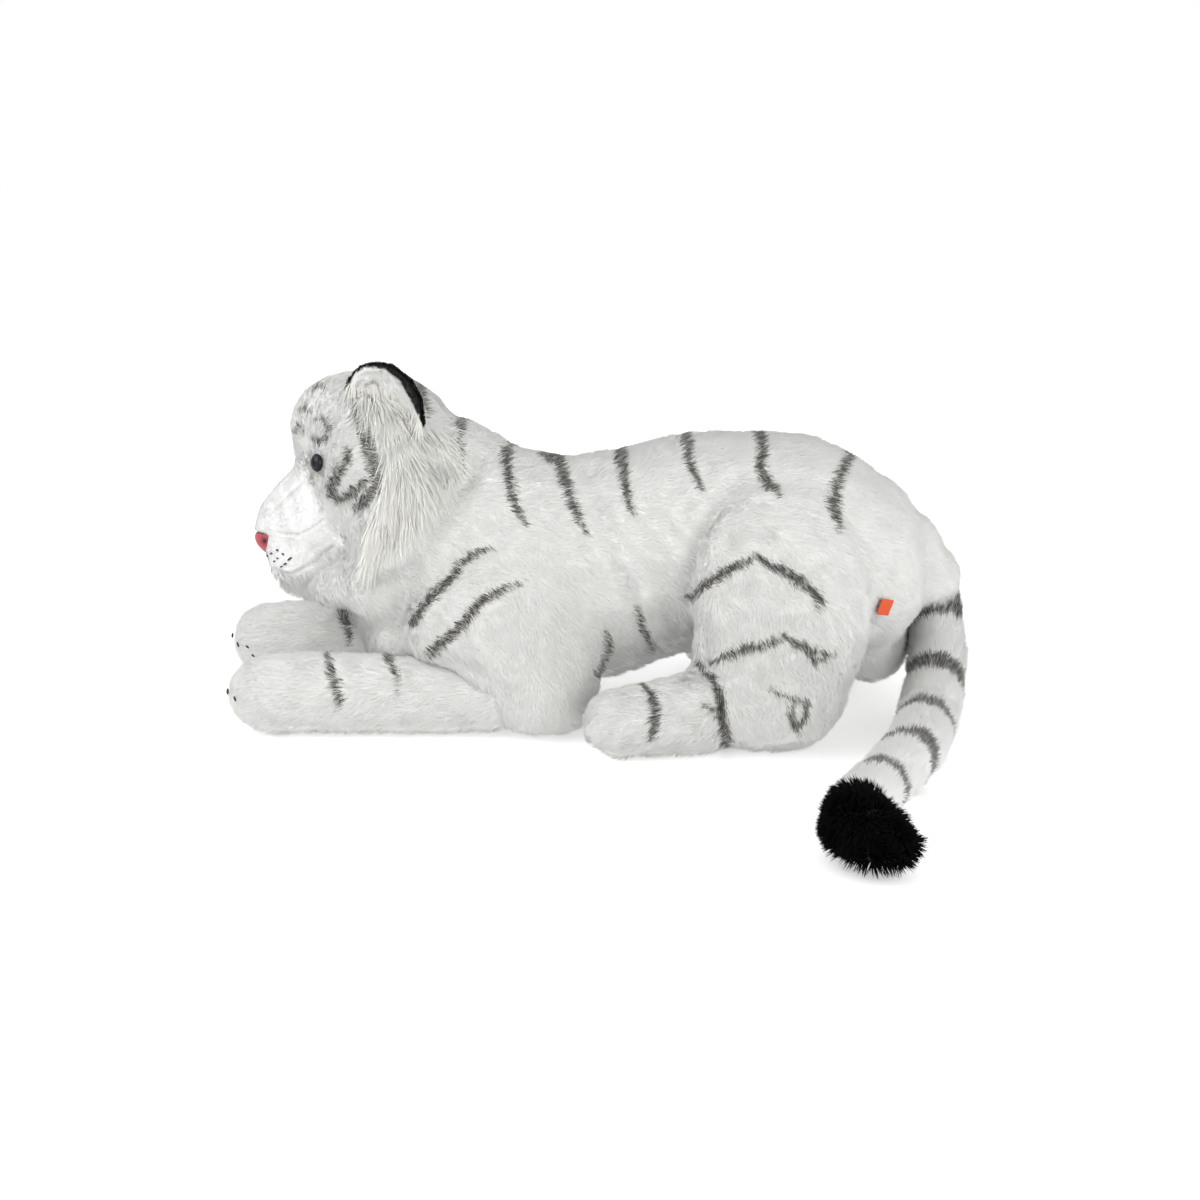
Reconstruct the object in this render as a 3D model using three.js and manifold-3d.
import * as THREE from 'three';
import { mergeVertices } from 'three/addons/utils/BufferGeometryUtils.js';
import Module from 'manifold-3d';

// A lying plush tiger, a little under 800 mm from paw to tail, in millimetres with +Z up.
// It faces -X and its left side faces -Y. Pile covers hold separate fillings, and the
// head, ears, forearms, hind feet and tail turn on stuffed balls and sewn edges.

const wasm = await Module();
wasm.setup();

// Clearances and cloth, shared by every piece, and a spare angle beyond each swing.
const seamGap = 0.3;
const jointGap = 0.8;
const pileWall = 8;
const shortPileWall = 5;
const floorFlat = 0.5;
const overrun = 900;
const swingSpare = 1;

// Mesh density, as counts of sides round a form and of rings along it.
const trunkMesh = { sides: 16, rings: 11 };
const trunkInside = { sides: 12, rings: 11 };
const limbMesh = { sides: 12, rings: 5 };
const limbInside = { sides: 8, rings: 4 };
const tailMesh = { sides: 12, rings: 4 };
const tailInside = { sides: 8, rings: 3 };
const headSides = 16;
const headInsideSides = 10;
const padSides = 12;
const earSides = 14;
const eyeSides = 14;
const eyeRings = 4;
const jointSides = 16;
const jointBands = 4;
const neckSides = 30;
const neckBands = 8;
const coneSides = 12;

// The trunk, from the chest to the rump.
const trunk = { front: -152, length: 592, width: 228, height: 292, frontRound: 46, rearRound: 24 };
const trunkShares = [
  [0, 0.48, 0.6, 0.42],
  [0.09, 0.57, 0.8, 0.56],
  [0.19, 0.63, 0.92, 0.7],
  [0.29, 0.57, 0.99, 0.74],
  [0.36, 0.515, 0.98, 0.78],
  [0.46, 0.53, 0.93, 0.815],
  [0.57, 0.59, 0.93, 0.8],
  [0.7, 0.586, 1, 0.83],
  [0.81, 0.565, 1, 0.825],
  [0.92, 0.51, 0.85, 0.68],
  [1, 0.48, 0.6, 0.46],
];
const chest = { x: -72, width: 66, depth: 124, height: 150, topRound: 50, footRound: 44 };
const chestShares = [
  [0, 0, 0, 1, 1],
  [1, 0, 0, 1, 1],
];

// The neck: a stuffed ball that the trunk cups from behind and the head from the front.
const neck = { x: -70, z: 205, lean: 43, length: 204, width: 172, core: 170, gap: 0.9 };
const nod = { down: 8, up: 8 };

// The head leans a little to the tiger's right, as it rests in the picture.
const headLean = 8;
const skull = { x: -122, z: 268, length: 178, width: 178, height: 168 };
const ruffInset = 10;
const nape = { rise: 84, drop: 26, width: 188, height: 222, topWidth: 168, topHeight: 172, topRound: 40 };
const muzzle = {
  rootX: -160, rootZ: 214, tipX: -246, tipZ: 170, width: 112, height: 118, tipRound: 26,
};
const muzzleShares = [
  [0, 1, 1],
  [0.3, 0.98, 0.98],
  [0.6, 0.82, 0.78],
  [0.85, 0.64, 0.52],
  [1, 0.5, 0.4],
];
const muzzlePad = { x: -207, y: 24, z: 163, length: 60, width: 50, height: 44 };
const chin = { x: -192, z: 138, length: 70, width: 62, height: 42 };
const nose = { x: -245, z: 178, width: 34, height: 24, depth: 8, wrap: 10, corner: 5, crown: 40 };
const noseDomeShares = { width: 1.08, height: 1.16 };
const nostril = { length: 7, height: 3.5, side: 8.5, drop: 3, dip: 2 };
const stem = { radius: 2.4, length: 7, washerRadius: 8, washerThick: 1.6, seat: 1.5 };
const eye = { turn: 48, rise: -6, radius: 8.5, dome: 5.5, flange: 1.6, sink: 2.5 };
const ear = {
  x: -104, y: 70, z: 312, turn: 27, tip: 12, width: 78, height: 52, depth: 20, rim: 3.6, lining: 5,
  rootRadius: 5.5, rootLength: 48, rootBack: 16, foldGap: 3.6, foot: 17,
};
const ruff = { x: -96, y: nape.width / 2 - ruffInset, z: 212, length: 86, width: 34, height: 150 };

// The legs. The right foreleg lies further forward and the right haunch further back.
const trunkSide = trunk.width / 2;
const foreSet = {
  leftBehind: 160, leftInset: 26, leftToeInset: 30,
  rightBehind: 134, rightInset: 22, rightToeOut: 2,
};
const leftFore = {
  x: trunk.front + foreSet.leftBehind,
  y: foreSet.leftInset - trunkSide,
  toeY: foreSet.leftToeInset - trunkSide,
};
const rightFore = {
  x: trunk.front + foreSet.rightBehind,
  y: trunkSide - foreSet.rightInset,
  toeY: trunkSide + foreSet.rightToeOut,
};
const forearm = { length: 278, width: 92, height: 83, ball: 38, toeRound: 34 };
const forearmShares = [
  [0, 0.88, 0.98],
  [0.25, 0.87, 1],
  [0.5, 0.88, 0.99],
  [0.75, 1, 1],
  [0.9, 0.98, 0.94],
  [1, 0.8, 0.8],
];
const foreSwing = 12;
const upperArm = { x: 30, width: 84, depth: 102, height: 204, topRound: 84, footRound: 26 };
const upperArmShares = [
  [0, 0.12, 0, 0.9, 0.9],
  [0.24, 0.12, 0, 1.04, 1],
  [0.5, -0.12, 0.06, 1.58, 1],
  [0.76, -0.2, 0.16, 1.5, 0.96],
  [1, -0.2, 0.28, 1.24, 0.9],
];
const trunkRear = trunk.front + trunk.length;
const hindSet = { leftAhead: 162, leftOut: 14, rightAhead: 102, rightOut: 10 };
const leftHind = { x: trunkRear - hindSet.leftAhead, y: -trunkSide - hindSet.leftOut };
const rightHind = { x: trunkRear - hindSet.rightAhead, y: trunkSide + hindSet.rightOut };
const haunch = { width: 116, depth: 178, height: 262, topRound: 118, footRound: 30 };
const haunchShares = [
  [0, 0.02, 0, 0.86, 0.74],
  [0.2, 0.03, 0, 0.96, 0.9],
  [0.38, 0.03, 0.02, 1, 1],
  [0.58, 0, 0.12, 1, 1],
  [0.78, -0.02, 0.28, 1, 0.94],
  [1, -0.03, 0.46, 0.96, 0.9],
];
const hindFoot = {
  ahead: 46, side: 24, length: 146, width: 84, height: 84, ball: 39, toeRound: 30, splay: 17,
};
const hindFootShares = [
  [0, 0.96, 1],
  [0.25, 0.97, 1],
  [0.5, 1, 0.9],
  [0.75, 1, 0.82],
  [1, 0.9, 0.76],
];
const hindSwing = 12;

// The tail hangs from the rump, lies along the floor and curls at its black tip.
const tail = { width: 62, bow: 7, swing: 12, bend: 15, ball: 28.5, rootBall: 30, moat: 6.5 };
const tailAhead = { root: 16, middle: 12, end: 76, tuft: 112, bend: 128, curl: 78 };
const tailBehind = { hang: 10, lie: 6 };
const tailRoot = { x: trunkRear - tailAhead.root, y: 0, z: 160 };
const tailHang = { x: trunkRear + tailBehind.hang, y: -4, z: 104 };
const tailLie = { x: trunkRear + tailBehind.lie, y: -50, z: 52 };
const tailMiddle = { x: trunkRear - tailAhead.middle, y: -121 };
const tailEnd = { x: trunkRear - tailAhead.end, y: -322 };
const tailTuft = { x: trunkRear - tailAhead.tuft, y: -408 };
const tuftBend = { x: trunkRear - tailAhead.bend, y: -452 };
const tuftEnd = { x: trunkRear - tailAhead.curl, y: -484 };
const tuft = { width: 66, middle: 72, tipRound: 30, lap: 11 };

// The sewn tag at the seam behind the left haunch.
const tagSet = { ahead: 52, inset: 20 };
const tag = {
  x: trunkRear - tagSet.ahead,
  y: tagSet.inset - trunkSide,
  z: 126,
  width: 17,
  height: 18,
  thick: 0.9,
  turn: 34,
  slant: 14,
};

// Solid helpers: a closed mesh becomes a solid and a solid a mesh again.
function solidOf(geometry) {
  const bare = geometry.clone();
  bare.deleteAttribute('normal');
  bare.deleteAttribute('uv');
  const merged = mergeVertices(bare);
  const vertProperties = new Float32Array(merged.attributes.position.array);
  const triVerts = new Uint32Array(merged.index.array);
  return new wasm.Manifold(new wasm.Mesh({ numProp: 3, vertProperties, triVerts }));
}

function geometryOf(solid) {
  const mesh = solid.getMesh();
  const geometry = new THREE.BufferGeometry();
  const places = new Float32Array(mesh.vertProperties);
  geometry.setAttribute('position', new THREE.BufferAttribute(places, 3));
  geometry.setIndex(new THREE.BufferAttribute(new Uint32Array(mesh.triVerts), 1));
  geometry.computeVertexNormals();
  return geometry;
}

function vector(x, y, z) {
  return new THREE.Vector3(x, y, z);
}

function degrees(angle) {
  return THREE.MathUtils.degToRad(angle);
}

function degreesOf(angle) {
  return THREE.MathUtils.radToDeg(angle);
}

const forward = vector(-1, 0, 0);

// Rings along a form: their distance from the start, how far an end has closed in there,
// and which way along the spine a thicker or thinner copy of the form moves the ring.
// A start may be rounded to a point or to a flat sole, which is where its first ring lies.
function ringStops(length, options) {
  const { startRound = 0, endRound = 0, rings, roundRings = 3, sole = false } = options;
  const stops = [];
  const first = sole ? 1 : 0;
  const soleAt = startRound * (1 - Math.cos((Math.PI / 2) * (first / roundRings)));
  for (let i = startRound > 0 ? first : roundRings; i <= roundRings; i += 1) {
    const turn = (Math.PI / 2) * (i / roundRings);
    const push = startRound > 0 ? -Math.cos(turn) : -1;
    stops.push({ at: startRound * (1 - Math.cos(turn)) - soleAt, swell: Math.sin(turn), push });
  }
  const run = length - startRound - endRound;
  for (let i = 1; i < rings; i += 1) {
    stops.push({ at: startRound + (run * i) / rings, swell: 1, push: 0 });
  }
  for (let i = roundRings; i >= (endRound > 0 ? 0 : roundRings); i -= 1) {
    const turn = (Math.PI / 2) * (i / roundRings);
    const push = endRound > 0 ? Math.cos(turn) : 1;
    stops.push({ at: length - endRound * (1 - Math.cos(turn)), swell: Math.sin(turn), push });
  }
  return stops;
}

// A stuffed form: oval sections along a smooth spine, with a round or flat close at each end.
// Each row is [x, y, z, half width, half height], and up is the direction of the height.
// Sections are polygons drawn round the oval, so that a flat side lies underneath. They
// stand across the spine, or all across one given direction.
function stuffedForm(rows, options) {
  const { up, across: crossed = null, sides, grow = 0 } = options;
  const spine = new THREE.CatmullRomCurve3(rows.map(([x, y, z]) => vector(x, y, z)));
  const halves = new THREE.CatmullRomCurve3(rows.map(([, , , wide, high]) => vector(wide, high, 0)));
  halves.curveType = 'catmullrom';
  spine.curveType = 'catmullrom';
  const length = spine.getLength();
  const places = [];
  const loops = [];
  let lastMiddle = null;
  for (const { at, swell, push } of ringStops(length, options)) {
    const along = at + grow * push;
    const onSpine = THREE.MathUtils.clamp(along, 0, length);
    const t = spine.getUtoTmapping(onSpine / length);
    const tangent = crossed ?? spine.getTangent(t);
    const middle = spine.getPoint(t).addScaledVector(tangent, along - onSpine);
    const half = halves.getPoint(t).addScalar(grow);
    const across = up.clone().cross(tangent).normalize();
    const upward = tangent.clone().cross(across).normalize();
    if (swell === 0) {
      loops.push([places.length / 3]);
      places.push(middle.x, middle.y, middle.z);
      continue;
    }
    const loop = [];
    for (let k = 0; k < sides; k += 1) {
      const angle = (2 * Math.PI * (k + 1 / 2)) / sides;
      const reach = swell / Math.cos(Math.PI / sides);
      const point = middle.clone();
      point.addScaledVector(across, half.x * reach * Math.cos(angle));
      point.addScaledVector(upward, half.y * reach * Math.sin(angle));
      loop.push(places.length / 3);
      places.push(point.x, point.y, point.z);
    }
    if (loops.length === 0) {
      loops.push([places.length / 3]);
      places.push(middle.x, middle.y, middle.z);
    }
    loops.push(loop);
    lastMiddle = middle;
  }
  if (!(options.endRound > 0)) {
    loops.push([places.length / 3]);
    places.push(lastMiddle.x, lastMiddle.y, lastMiddle.z);
  }
  const geometry = new THREE.BufferGeometry();
  geometry.setAttribute('position', new THREE.Float32BufferAttribute(places, 3));
  geometry.setIndex(skinOf(loops, sides));
  return solidOf(geometry);
}

// Faces between neighbouring loops, where a loop of one point is an end.
function skinOf(loops, sides) {
  const faces = [];
  for (let i = 0; i + 1 < loops.length; i += 1) {
    const here = loops[i];
    const next = loops[i + 1];
    for (let k = 0; k < sides; k += 1) {
      const after = (k + 1) % sides;
      if (here.length === 1) {
        faces.push(here[0], next[after], next[k]);
      } else if (next.length === 1) {
        faces.push(here[k], here[after], next[0]);
      } else {
        faces.push(here[k], here[after], next[after]);
        faces.push(here[k], next[after], next[k]);
      }
    }
  }
  return faces;
}

// A fine mesh for the outside of a form, and a plainer one for what lies under the cloth.
function meshFor(grow, outside, inside) {
  return grow >= 0 ? outside : inside;
}

// An egg shape of three sizes about a middle, with its poles along the given axis.
function oval(length, width, height, middle, options = {}) {
  const { sides = padSides, bands = sides / 2, pole = 'z', grow = 0 } = options;
  const geometry = new THREE.SphereGeometry(1, sides, bands);
  if (pole === 'z') {
    geometry.rotateX(Math.PI / 2);
  }
  geometry.scale(length / 2 + grow, width / 2 + grow, height / 2 + grow);
  geometry.translate(middle.x, middle.y, middle.z);
  return solidOf(geometry);
}

function block(width, depth, height, middle) {
  const geometry = new THREE.BoxGeometry(width, depth, height);
  geometry.translate(middle.x, middle.y, middle.z);
  return solidOf(geometry);
}

// A revolved solid whose axis starts at a place and runs along a direction.
function revolved(profile, place, direction, sides = coneSides) {
  const geometry = new THREE.LatheGeometry(profile, sides);
  const turn = new THREE.Quaternion().setFromUnitVectors(vector(0, 1, 0), direction);
  geometry.applyQuaternion(turn);
  geometry.translate(place.x, place.y, place.z);
  return solidOf(geometry);
}

function point2(radius, along) {
  return new THREE.Vector2(radius, along);
}

function rod(radius, place, direction, from, to, sides = coneSides) {
  const profile = [point2(0, from), point2(radius, from), point2(radius, to), point2(0, to)];
  return revolved(profile, place, direction, sides);
}

// What lies ahead of a joint, inside a wide cone about a direction, so that a limb which
// swings by that angle stays ahead of the joint.
function aheadOf(place, direction, swing) {
  const open = degrees(90 - swing);
  const rim = point2(overrun * Math.sin(open), overrun * Math.cos(open));
  return revolved([point2(0, 0), rim, point2(0, overrun)], place, direction);
}

// What lies in front of a plane, the plane's normal being the direction.
function halfSpace(place, direction) {
  const size = overrun * 2;
  const geometry = new THREE.BoxGeometry(size, size, size);
  geometry.translate(0, size / 2, 0);
  const turn = new THREE.Quaternion().setFromUnitVectors(vector(0, 1, 0), direction);
  geometry.applyQuaternion(turn);
  geometry.translate(place.x, place.y, place.z);
  return solidOf(geometry);
}

function cut(solid, ...cutters) {
  let left = solid;
  for (const cutter of cutters) {
    left = left.subtract(cutter);
  }
  return left;
}

const underFloor = halfSpace(vector(0, 0, 0), vector(0, 0, -1));

// The largest body of a cut, without the crumbs that a cutter leaves beside it.
function mainBody(solid) {
  const bodies = solid.decompose();
  bodies.sort((a, b) => b.volume() - a.volume());
  return bodies[0];
}

// Materials.
function pile(color, roughness = 0.95) {
  return new THREE.MeshStandardMaterial({ color, roughness, metalness: 0 });
}
const whitePile = pile(0xeeeeeb);
const creamPile = pile(0xe9e7db);
const shortPile = pile(0xe9e9e8, 0.9);
const blackPile = pile(0x141414);
const fibre = pile(0xf6f6f4, 1);
const blackGloss = pile(0x0b0d0e, 0.08);
const nosePlastic = pile(0xa8434b, 0.45);
const washerPlastic = pile(0xf1f1ee, 0.4);
const tagCloth = pile(0xd8431c, 0.8);

const toy = new THREE.Group();

function addPiece(name, solid, material) {
  const mesh = new THREE.Mesh(geometryOf(mainBody(solid)), material);
  mesh.name = name;
  toy.add(mesh);
}

// A cover with its filling: the same form at three sizes, cut by the same neighbours.
function addStuffed(name, form, cutters, opening = null) {
  const outer = form(0);
  const inner = form(-pileWall);
  const filling = form(-pileWall - seamGap);
  const shell = cut(outer, inner, ...cutters);
  addPiece(`${name}_cover`, opening ? shell.subtract(opening) : shell, whitePile);
  addPiece(`${name}_filling`, cut(filling, ...cutters), fibre);
}

// The trunk and its neck joint.
function trunkForm(grow) {
  const rows = trunkShares.map(([along, middle, wide, high]) => [
    trunk.front + along * trunk.length,
    0,
    middle * trunk.height,
    (wide * trunk.width) / 2,
    (high * trunk.height) / 2,
  ]);
  const body = stuffedForm(rows, {
    up: vector(0, 0, 1),
    across: vector(1, 0, 0),
    ...meshFor(grow, trunkMesh, trunkInside),
    startRound: trunk.frontRound,
    endRound: trunk.rearRound,
    grow,
  });
  return body.add(uprightForm(chestShares, chest, vector(chest.x, 0, 0), grow));
}

const neckPlace = vector(neck.x, 0, neck.z);
const neckAlong = vector(-Math.sin(degrees(90 - neck.lean)), 0, Math.cos(degrees(90 - neck.lean)));

function neckDirection(tilt) {
  return neckAlong.clone().applyAxisAngle(vector(0, 1, 0), degrees(tilt));
}

function neckCup(grow) {
  const middle = neckPlace;
  const mesh = { sides: neckSides, bands: neckBands };
  return oval(neck.length, neck.width, neck.length, middle, { ...mesh, pole: 'y', grow });
}

function neckCore(grow) {
  const ball = new THREE.SphereGeometry(neck.core / 2 + grow, neckSides, neckBands);
  const turn = new THREE.Quaternion().setFromUnitVectors(vector(0, 1, 0), neckAlong);
  ball.applyQuaternion(turn);
  ball.translate(neckPlace.x, neckPlace.y, neckPlace.z);
  return solidOf(ball);
}

const headSide = halfSpace(neckPlace, neckAlong);
const seamPlace = neckPlace.clone().addScaledVector(neckAlong, -seamGap);
const aheadOfSeam = halfSpace(seamPlace, neckAlong);

function neckBall() {
  const upper = neckCup(0).intersect(headSide);
  const lower = cut(neckCore(0), headSide);
  return upper.add(lower);
}

const behindHead = [-nod.up - swingSpare, nod.down + swingSpare].map((tilt) => (
  halfSpace(neckPlace, neckDirection(tilt).negate())
));
const headCutters = [neckCup(neck.gap), ...behindHead];

// The forelegs.
function limbDirection(from, to) {
  return to.clone().sub(from).normalize();
}

function elbowOf(side) {
  return vector(side.x, side.y, forearm.height / 2 - floorFlat);
}

function jointBall(place, radius) {
  const mesh = { sides: jointSides, bands: jointBands };
  return oval(radius * 2, radius * 2, radius * 2, place, mesh);
}

// Room ahead of a joint for the limb that turns there, up to the limb's own height.
function notch(place, limb) {
  const top = limb.height + seamGap;
  const middle = vector(place.x - overrun / 2, place.y, top - overrun / 2);
  return block(overrun, limb.width * 2, overrun, middle);
}

function forearmForm(side, swing) {
  const place = elbowOf(side);
  const splay = degreesOf(Math.atan2(Math.abs(side.toeY - side.y), forearm.length));
  const rows = forearmShares.map(([along, wide, high]) => [
    place.x - along * forearm.length,
    THREE.MathUtils.lerp(side.y, side.toeY, along),
    (high * forearm.height) / 2 - floorFlat,
    (wide * forearm.width) / 2,
    (high * forearm.height) / 2,
  ]);
  return (grow) => {
    const tube = stuffedForm(rows, {
      up: vector(0, 0, 1), ...meshFor(grow, limbMesh, limbInside), endRound: forearm.toeRound, grow,
    });
    if (grow < 0) {
      return tube;
    }
    const ball = jointBall(place, forearm.ball);
    return tube.intersect(aheadOf(place, forward, swing + splay)).add(ball).subtract(underFloor);
  };
}

// A leg form that rises from the floor and leans in against the trunk.
function uprightForm(shares, size, middle, grow) {
  const rows = shares.map(([along, shift, inward, deep, wide]) => [
    middle.x + shift * size.depth,
    middle.y - Math.sign(middle.y) * inward * size.width,
    along * size.height - floorFlat,
    (deep * size.depth) / 2,
    (wide * size.width) / 2,
  ]);
  return stuffedForm(rows, {
    up: vector(0, 1, 0),
    across: vector(0, 0, 1),
    ...meshFor(grow, limbMesh, limbInside),
    startRound: size.footRound,
    sole: true,
    endRound: size.topRound,
    grow,
  });
}

function upperArmForm(side) {
  const middle = vector(side.x + upperArm.x, side.y, 0);
  return (grow) => uprightForm(upperArmShares, upperArm, middle, grow);
}

// The hind legs.
function haunchForm(side) {
  const middle = vector(side.x, side.y, 0);
  return (grow) => uprightForm(haunchShares, haunch, middle, grow);
}

function heelOf(side) {
  const outward = Math.sign(side.y);
  const middle = hindFoot.height / 2 - floorFlat;
  return vector(side.x - hindFoot.ahead, side.y + outward * hindFoot.side, middle);
}

function hindFootForm(side, swing) {
  const place = heelOf(side);
  const outward = Math.sign(side.y);
  const toeY = place.y + outward * hindFoot.splay;
  const rows = hindFootShares.map(([along, wide, high]) => [
    place.x - along * hindFoot.length,
    THREE.MathUtils.lerp(place.y, toeY, along),
    (high * hindFoot.height) / 2 - floorFlat,
    (wide * hindFoot.width) / 2,
    (high * hindFoot.height) / 2,
  ]);
  const splay = degreesOf(Math.atan2(hindFoot.splay, hindFoot.length));
  return (grow) => {
    const tube = stuffedForm(rows, {
      up: vector(0, 0, 1), ...meshFor(grow, limbMesh, limbInside), endRound: hindFoot.toeRound, grow,
    });
    if (grow < 0) {
      return tube;
    }
    const ball = jointBall(place, hindFoot.ball);
    return tube.intersect(aheadOf(place, forward, swing + splay)).add(ball).subtract(underFloor);
  };
}

// The tail, in three stuffed lengths and a tuft.
const tailLow = tail.width / 2 - floorFlat;
const tailRootPlace = vector(tailRoot.x, tailRoot.y, tailRoot.z);
const tailMiddlePlace = vector(tailMiddle.x, tailMiddle.y, tailLow);
const tailEndPlace = vector(tailEnd.x, tailEnd.y, tailLow);
const tuftPlace = vector(tailTuft.x, tailTuft.y, tailLow);

function tailRow(place, thick = tail.width) {
  return [place.x, place.y, place.z, thick / 2, thick / 2];
}

const tailBaseRows = [
  tailRow(tailRootPlace),
  tailRow(vector(tailHang.x, tailHang.y, tailHang.z)),
  tailRow(vector(tailLie.x, tailLie.y, tailLie.z)),
  tailRow(tailMiddlePlace),
];
const tailMiddleRows = [
  tailRow(tailMiddlePlace),
  tailRow(tailMiddlePlace.clone().lerp(tailEndPlace, 1 / 2).add(vector(tail.bow, 0, 0))),
  tailRow(tailEndPlace),
];
const tailEndRows = [
  tailRow(tailEndPlace),
  tailRow(tuftPlace),
];
const tuftDirection = limbDirection(tailEndPlace, tuftPlace);
const tuftRows = [
  tailRow(tuftPlace.clone().addScaledVector(tuftDirection, -tuft.lap), tuft.width),
  tailRow(vector(tuftBend.x, tuftBend.y, tuft.middle / 2 - floorFlat), tuft.middle),
  tailRow(vector(tuftEnd.x, tuftEnd.y, tuft.width / 2 - floorFlat), tuft.width),
];

function tailSpine(rows) {
  const spine = new THREE.CatmullRomCurve3(rows.map(([x, y, z]) => vector(x, y, z)));
  spine.curveType = 'catmullrom';
  return spine;
}

function tailDirection(rows, share) {
  return tailSpine(rows).getTangent(share);
}

function tailTube(rows, grow) {
  return stuffedForm(rows, { up: vector(1, 0, 0), ...meshFor(grow, tailMesh, tailInside), grow });
}

function tailLength(rows, swing, ball, nextRows) {
  const start = tailSpine(rows).getPoint(0);
  const end = tailSpine(rows).getPoint(1);
  const ahead = aheadOf(start, tailDirection(rows, 0), swing);
  const past = halfSpace(end, nextRows === tuftRows ? tuftDirection : tailDirection(nextRows, 0));
  return (grow) => {
    const tube = tailTube(rows, grow);
    if (grow < 0) {
      return tube;
    }
    return tube.intersect(ahead).subtract(past).add(jointBall(start, ball)).subtract(underFloor);
  };
}

// The hollow in the rump that the root of the tail moves in.
function tailMoat() {
  const ahead = halfSpace(tailRootPlace, tailDirection(tailBaseRows, 0));
  return tailTube(tailBaseRows, tail.moat).intersect(ahead);
}

function ballOpening(rows) {
  const start = tailSpine(rows).getPoint(0);
  const back = tailDirection(rows, 0).negate();
  return rod(tail.ball / 2, start, back, -pileWall, tail.ball * 2, limbInside.sides);
}

// The head group is built upright and then leaned about the neck.
function leaned(solid) {
  const back = neckPlace.clone().negate();
  const moved = solid.translate([back.x, back.y, back.z]).rotate([-headLean, 0, 0]);
  return moved.translate([neckPlace.x, neckPlace.y, neckPlace.z]);
}

function headForm(grow) {
  const sides = meshFor(grow, headSides, headInsideSides);
  const skullMiddle = vector(skull.x, 0, skull.z);
  const round = oval(skull.length, skull.width, skull.height, skullMiddle, { sides, grow });
  const top = neckPlace.clone().addScaledVector(neckAlong, nape.rise);
  const low = neckPlace.clone().addScaledVector(neckAlong, -nape.drop);
  const rows = [
    [low.x, 0, low.z, nape.width / 2, nape.height / 2],
    [neckPlace.x, 0, neckPlace.z, nape.width / 2, nape.height / 2],
    [top.x, 0, top.z, nape.topWidth / 2, nape.topHeight / 2],
  ];
  const collar = stuffedForm(rows, {
    up: vector(1, 0, 1).normalize(), rings: 3, sides, endRound: nape.topRound, grow,
  });
  return round.add(collar);
}

function muzzleForm(grow) {
  const root = vector(muzzle.rootX, 0, muzzle.rootZ);
  const tip = vector(muzzle.tipX, 0, muzzle.tipZ);
  const rows = muzzleShares.map(([along, wide, high]) => {
    const place = root.clone().lerp(tip, along);
    return [place.x, 0, place.z, (wide * muzzle.width) / 2, (high * muzzle.height) / 2];
  });
  return stuffedForm(rows, {
    up: vector(0, 0, 1), ...meshFor(grow, limbMesh, limbInside), endRound: muzzle.tipRound, grow,
  });
}

function muzzlePadForm(outward, grow) {
  const middle = vector(muzzlePad.x, outward * muzzlePad.y, muzzlePad.z);
  return oval(muzzlePad.length, muzzlePad.width, muzzlePad.height, middle, { grow });
}

function chinForm(grow) {
  return oval(chin.length, chin.width, chin.height, vector(chin.x, 0, chin.z), { grow });
}

// A snap fitting through a cover: what it needs cut in the cover and in the filling.
function snapCutters(place, outward, wall, sink, seatRadius) {
  const inside = -wall + stem.seat;
  const end = inside - stem.length;
  const hole = rod(stem.radius + seamGap, place, outward, -wall * 2, wall);
  const recess = rod(seatRadius + seamGap, place, outward, -sink, wall * 2);
  const seat = rod(stem.washerRadius + seamGap * 2, place, outward, -wall * 2, inside);
  const pocket = rod(stem.washerRadius + seamGap * 2, place, outward, end - seamGap * 2, wall);
  return { cover: [hole, recess, seat], filling: [pocket] };
}

function washer(place, outward, wall) {
  const top = -wall + stem.seat - seamGap;
  const ring = rod(stem.washerRadius, place, outward, top - stem.washerThick, top);
  return ring.subtract(rod(stem.radius + seamGap, place, outward, -wall * 2, wall, limbInside.sides));
}

function eyePlace(outward) {
  const turn = degrees(eye.turn);
  const x = skull.x - (skull.length / 2) * Math.cos(turn);
  return vector(x, (outward * skull.width * Math.sin(turn)) / 2, skull.z + eye.rise);
}

function eyeOutward(outward) {
  return vector(-Math.cos(degrees(eye.turn)), outward * Math.sin(degrees(eye.turn)), 0);
}

// The eye: a domed button with a thin flange and a stem.
function eyeSolid(outward) {
  const base = -eye.sink + seamGap;
  const bulge = [];
  for (let i = 0; i <= eyeRings; i += 1) {
    const turn = (Math.PI / 2) * (i / eyeRings);
    bulge.push(point2(eye.radius * Math.cos(turn), base + eye.flange + eye.dome * Math.sin(turn)));
  }
  bulge[bulge.length - 1].x = 0;
  const bottom = -pileWall + stem.seat - stem.length + seamGap;
  const profile = [
    point2(0, bottom),
    point2(stem.radius, bottom),
    point2(stem.radius, base),
    point2(eye.radius, base),
    ...bulge,
  ];
  return revolved(profile, eyePlace(outward), eyeOutward(outward), eyeSides);
}

// The nose: a rounded triangle with a domed front and two nostrils, on a stem.
const nosePlace = vector(nose.x, 0, nose.z);

function noseOutline(grow) {
  const half = nose.width / 2 + grow;
  const top = nose.height / 2 + grow;
  const bend = nose.corner;
  const outline = new THREE.Shape();
  outline.moveTo(-half + bend, top);
  outline.lineTo(half - bend, top);
  outline.quadraticCurveTo(half, top, half, top - bend);
  outline.quadraticCurveTo(half / 2, -top + bend, bend, -top);
  outline.lineTo(-bend, -top);
  outline.quadraticCurveTo(-half / 2, -top + bend, -half, top - bend);
  outline.quadraticCurveTo(-half, top, -half + bend, top);
  return outline;
}

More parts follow.
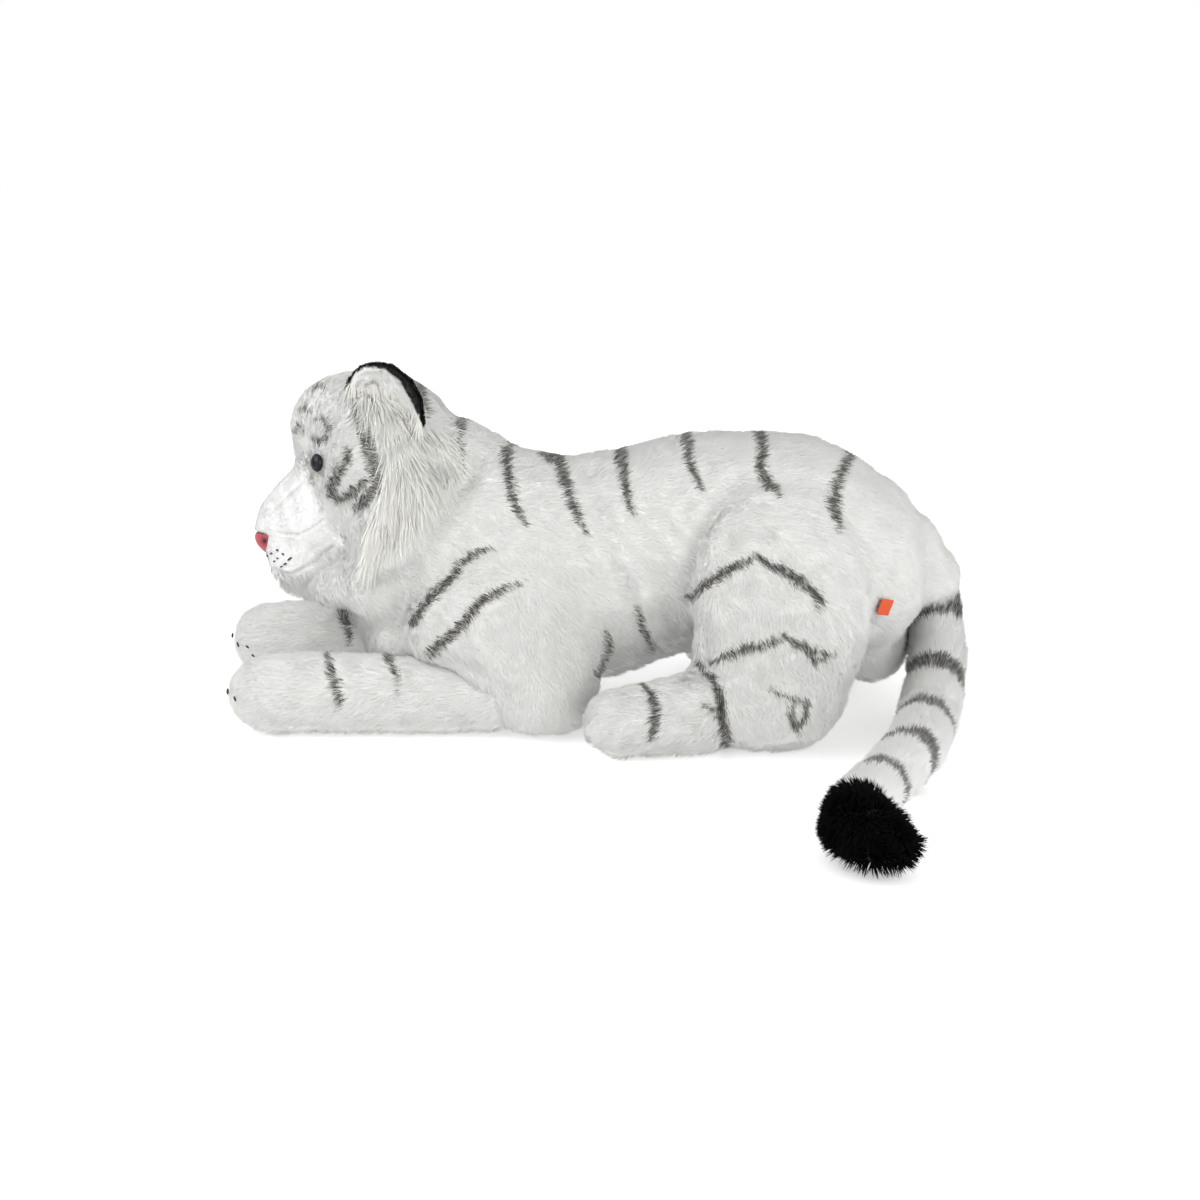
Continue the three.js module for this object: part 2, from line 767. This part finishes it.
function noseBlock(grow, from, to) {
  const options = { depth: to - from, bevelEnabled: false, curveSegments: 3 };
  const geometry = new THREE.ExtrudeGeometry(noseOutline(grow), options);
  geometry.translate(0, 0, from);
  const basis = new THREE.Matrix4().makeBasis(vector(0, -1, 0), vector(0, 0, 1), forward);
  geometry.applyMatrix4(basis);
  geometry.translate(nosePlace.x, nosePlace.y, nosePlace.z);
  return solidOf(geometry);
}

function noseSolid() {
  const crownMiddle = vector(nose.x + nose.crown / 2 - nose.depth, 0, nose.z);
  const domeWidth = nose.width * noseDomeShares.width;
  const domeHeight = nose.height * noseDomeShares.height;
  const dome = oval(nose.crown, domeWidth, domeHeight, crownMiddle, { pole: 'y' });
  const blank = noseBlock(0, -nose.wrap, nose.depth + seamGap).intersect(dome);
  const front = blank.subtract(muzzleForm(seamGap));
  const nostrils = [-1, 1].map((side) => oval(
    nostril.length,
    nostril.length,
    nostril.height,
    vector(nose.x - nose.depth + nostril.dip, side * nostril.side, nose.z - nostril.drop),
    { sides: limbInside.sides },
  ));
  const stemEnd = -shortPileWall + stem.seat - stem.length + seamGap;
  const shank = rod(stem.radius, nosePlace, forward, stemEnd, seamGap * 2, limbInside.sides);
  return cut(front, ...nostrils).add(shank);
}

// The ears, built as the left one: a black back with a pale cupped lining in front of it.
function earPlaced(solid, outward) {
  const up = vector(0, -Math.sin(degrees(ear.tip)), Math.cos(degrees(ear.tip)));
  const along = vector(Math.cos(degrees(ear.turn)), -Math.sin(degrees(ear.turn)), 0);
  const facing = up.clone().cross(along).negate().normalize();
  const upright = along.clone().cross(facing).negate().normalize();
  const place = new THREE.Matrix4().makeBasis(along, facing.clone().negate(), upright);
  place.setPosition(ear.x, -ear.y, ear.z);
  const left = solid.transform(place.toArray());
  return outward < 0 ? left : left.mirror([0, 1, 0]);
}

function earCup(inset) {
  const size = [ear.width - inset * 2, (ear.depth - inset) * 2, (ear.height - inset) * 2];
  return oval(size[0], size[1], size[2], vector(0, 0, 0), { sides: earSides });
}

const behindEar = halfSpace(vector(0, 0, 0), vector(0, 1, 0));
const aheadOfEar = halfSpace(vector(0, 0, 0), vector(0, -1, 0));
const underEar = halfSpace(vector(0, 0, -ear.foot), vector(0, 0, -1));
const earRootPlace = vector(-ear.rootLength / 2, ear.rootBack, 0);

function earRoot(grow) {
  return rod(ear.rootRadius + grow, earRootPlace, vector(1, 0, 0), -grow, ear.rootLength + grow);
}

function addEar(side, outward, cutters) {
  const clear = headForm(ear.foldGap);
  const shell = cut(earCup(0), earCup(ear.rim), aheadOfEar, underEar);
  const lining = cut(earCup(ear.rim + seamGap), earCup(ear.rim + ear.lining), aheadOfEar, underEar);
  const backPlaced = cut(earPlaced(shell, outward), clear).add(earPlaced(earRoot(0), outward));
  const liningPlaced = cut(earPlaced(lining, outward), clear, earPlaced(earRoot(seamGap), outward));
  addPiece(`${side}_ear_back`, leaned(backPlaced), blackPile);
  addPiece(`${side}_ear_lining`, leaned(liningPlaced), creamPile);
  cutters.push(earPlaced(earRoot(jointGap), outward));
}

// The head: cover and filling, muzzle, chin, cheeks, ruff, eyes, nose and ears.
function buildHead() {
  const sides = [['left', -1], ['right', 1]];
  const coverCutters = [];
  const fillingCutters = [];
  for (const [side, outward] of sides) {
    addEar(side, outward, coverCutters);
    const place = eyePlace(outward);
    const direction = eyeOutward(outward);
    const snap = snapCutters(place, direction, pileWall, eye.sink, eye.radius);
    coverCutters.push(...snap.cover);
    fillingCutters.push(...snap.filling);
    addPiece(`${side}_eye`, leaned(eyeSolid(outward)), blackGloss);
    addPiece(`${side}_eye_washer`, leaned(washer(place, direction, pileWall)), washerPlastic);
  }
  const outer = cut(headForm(0), headForm(-pileWall), ...coverCutters);
  const inner = cut(headForm(-pileWall - seamGap), ...coverCutters, ...fillingCutters);
  addPiece('head_cover', cut(leaned(outer), ...headCutters), whitePile);
  addPiece('head_filling', cut(leaned(inner), ...headCutters), fibre);

  const headGrown = headForm(seamGap);
  const muzzleCutters = [headGrown];
  const snap = snapCutters(nosePlace, forward, shortPileWall, 0, stem.washerRadius);
  const holes = [snap.cover[0], snap.cover[2]];
  const muzzleCover = cut(muzzleForm(0), muzzleForm(-shortPileWall), ...muzzleCutters, ...holes);
  const muzzleInner = muzzleForm(-shortPileWall - seamGap);
  const muzzleFilling = cut(muzzleInner, ...muzzleCutters, ...snap.filling);
  addPiece('muzzle_cover', cut(leaned(muzzleCover), ...headCutters), shortPile);
  addPiece('muzzle_filling', cut(leaned(muzzleFilling), ...headCutters), fibre);
  addPiece('nose', leaned(noseSolid()), nosePlastic);
  addPiece('nose_washer', leaned(washer(nosePlace, forward, shortPileWall)), washerPlastic);

  const muzzleGrown = muzzleForm(seamGap);
  const noseGrown = noseBlock(seamGap, -nose.wrap * 2, nose.depth * 4);
  for (const [side, outward] of sides) {
    const clearRadius = eye.radius + seamGap * 2;
    const eyeClear = rod(clearRadius, eyePlace(outward), eyeOutward(outward), -pileWall, pileWall * 2);
    const pad = cut(muzzlePadForm(outward, 0), headGrown, muzzleGrown, noseGrown, eyeClear);
    const parted = outward < 0 ? pad : pad.subtract(muzzlePadForm(-outward, seamGap));
    addPiece(`${side}_muzzle_pad`, cut(leaned(parted), ...headCutters), shortPile);
    const middle = vector(ruff.x, outward * ruff.y, ruff.z);
    const cheek = oval(ruff.length, ruff.width, ruff.height, middle);
    addPiece(`${side}_cheek_ruff`, cut(leaned(cheek.subtract(headGrown)), ...headCutters), creamPile);
  }
  const pads = [muzzlePadForm(-1, seamGap), muzzlePadForm(1, seamGap)];
  const chinPad = cut(chinForm(0), headGrown, muzzleGrown, ...pads);
  addPiece('chin_pad', cut(leaned(chinPad), ...headCutters), shortPile);
}

// The sewn tag: a bare folded label with its inner edge in the seam.
function tagSolid() {
  const geometry = new THREE.BoxGeometry(tag.width, tag.thick, tag.height);
  geometry.rotateY(degrees(tag.slant));
  geometry.rotateZ(degrees(tag.turn));
  geometry.translate(tag.x, tag.y, tag.z);
  return solidOf(geometry);
}

// The trunk and legs.
function openingBehind(place, ball) {
  return rod(ball / 2, place, vector(1, 0, 0), -pileWall, ball + pileWall, limbInside.sides);
}

function buildBody() {
  const trunkGrown = trunkForm(seamGap);
  const rootCup = jointBall(tailRootPlace, tail.rootBall + jointGap);
  const trunkCutters = [neckCore(neck.gap), aheadOfSeam, underFloor, rootCup, tailMoat()];
  for (const [side, fore, hind] of [['left', leftFore, leftHind], ['right', rightFore, rightHind]]) {
    const elbow = [jointBall(elbowOf(fore), forearm.ball + jointGap), notch(elbowOf(fore), forearm)];
    const heel = [jointBall(heelOf(hind), hindFoot.ball + jointGap), notch(heelOf(hind), hindFoot)];
    trunkCutters.push(elbow[0], heel[0]);
    addStuffed(`${side}_upper_arm`, upperArmForm(fore), [trunkGrown, ...elbow, underFloor]);
    const foreOpening = openingBehind(elbowOf(fore), forearm.ball);
    addStuffed(`${side}_forearm`, forearmForm(fore, foreSwing + swingSpare), [], foreOpening);
    addStuffed(`${side}_haunch`, haunchForm(hind), [trunkGrown, ...heel, underFloor]);
    const hindOpening = openingBehind(heelOf(hind), hindFoot.ball);
    addStuffed(`${side}_hind_foot`, hindFootForm(hind, hindSwing + swingSpare), [], hindOpening);
  }
  addStuffed('trunk', trunkForm, trunkCutters);
  addPiece('neck_filling', neckBall(), fibre);
  addPiece('sewn_tag', tagSolid().subtract(trunkGrown), tagCloth);
}

function buildTail() {
  const base = tailLength(tailBaseRows, tail.swing + swingSpare, tail.rootBall, tailMiddleRows);
  const middle = tailLength(tailMiddleRows, tail.bend + swingSpare, tail.ball, tailEndRows);
  const end = tailLength(tailEndRows, tail.bend + swingSpare, tail.ball, tuftRows);
  const middleCup = jointBall(tailMiddlePlace, tail.ball + jointGap);
  const endCup = jointBall(tailEndPlace, tail.ball + jointGap);
  addStuffed('tail_base', base, [middleCup], ballOpening(tailBaseRows));
  addStuffed('tail_middle', middle, [endCup], ballOpening(tailMiddleRows));
  addStuffed('tail_end', end, [], ballOpening(tailEndRows));
  const brush = stuffedForm(tuftRows, { up: vector(0, 0, 1), ...limbMesh, endRound: tuft.tipRound });
  const seam = halfSpace(tuftPlace.clone().addScaledVector(tuftDirection, seamGap), tuftDirection);
  addPiece('tail_tuft', brush.intersect(seam).subtract(underFloor), blackPile);
}

buildBody();
buildHead();
buildTail();

// The toy stands with the middle of its footprint at the origin.
const bounds = new THREE.Box3().setFromObject(toy);
const footprint = bounds.getCenter(vector(0, 0, 0));
toy.position.set(-footprint.x, -footprint.y, 0);

export default toy;
